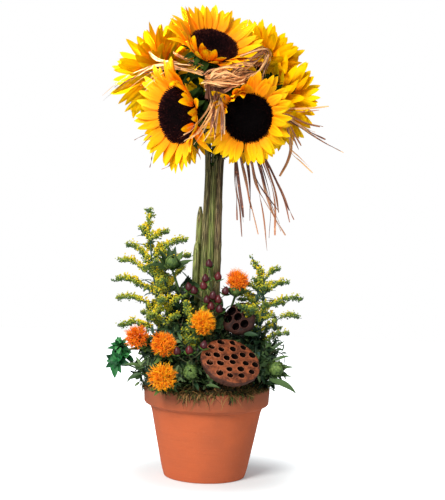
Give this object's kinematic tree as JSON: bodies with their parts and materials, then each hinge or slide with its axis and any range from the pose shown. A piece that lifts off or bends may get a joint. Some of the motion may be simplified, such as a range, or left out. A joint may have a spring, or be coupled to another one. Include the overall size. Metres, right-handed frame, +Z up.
{
  "type": "sunflower topiary in a clay pot",
  "caption": "Florist's sunflower topiary: blooms tied in a ball with raffia on a trunk of bundled stems, with flowers, seed pods, leaves and moss at the foot, in a clay pot.",
  "frame": {"origin": "centre of the flat underside of the pot", "axes": "+Z up the trunk, -Y towards the front of the arrangement, +X to the right seen from the front"},
  "size_m": [0.3154, 0.2422, 0.615],
  "materials": {
    "clay": "matt unglazed terracotta",
    "foam": "wet dark green foam",
    "moss": "dry brown-green moss",
    "disc": "velvety near-black florets",
    "stem": "ribbed green stem, browning",
    "raffia": "dry split raffia",
    "petals": "satin yellow petals, orange at the base",
    "pod": "dry woody pod",
    "leaf": "satin dark green leaves",
    "safflower": "bright orange filaments",
    "bud": "green bracts",
    "berry": "glossy dark red berries",
    "goldenrod": "tiny yellow-green florets"
  },
  "bodies": {
    "root": {"pot": "clay", "floral_foam": "foam", "moss": "moss", "head_top": "disc", "head_left": "disc", "head_right": "disc", "head_upper_left": "disc", "head_upper_right": "disc", "head_lower_right": "disc", "head_back_top": "disc", "head_back_right": "disc", "head_back_left": "disc", "stem_top": "stem", "stem_left": "stem", "stem_right": "stem", "stem_upper_left": "stem", "stem_upper_right": "stem", "stem_lower_right": "stem", "stem_back_top": "stem", "stem_back_right": "stem", "stem_back_left": "stem", "stem_stub_tall": "stem", "stem_stub_short": "stem", "raffia_tie": "raffia", "petals_top": "petals", "petals_left": "petals", "petals_right": "petals", "petals_upper_left": "petals", "petals_upper_right": "petals", "petals_lower_right": "petals", "petals_back_top": "petals", "petals_back_right": "petals", "petals_back_left": "petals", "raffia_right": "raffia", "raffia_far_right": "raffia", "lotus_pod_large": "pod", "lotus_pod_small": "pod", "leaves_left": "leaf", "leaves_rosette": "leaf", "leaves_front": "leaf", "leaves_right": "leaf", "leaves_back_left": "leaf", "leaves_back_right": "leaf", "safflower_high": "safflower", "safflower_middle": "safflower", "safflower_far_left": "safflower", "safflower_left": "safflower", "safflower_low": "safflower", "safflower_back_left": "safflower", "safflower_back_right": "safflower", "bud_high": "bud", "bud_front": "bud", "bud_right": "bud", "hypericum_high": "berry", "hypericum_low": "berry", "goldenrod_left": "goldenrod", "goldenrod_right": "goldenrod", "goldenrod_centre": "goldenrod", "goldenrod_back_left": "goldenrod", "goldenrod_back_right": "goldenrod"}
  },
  "joints": []
}
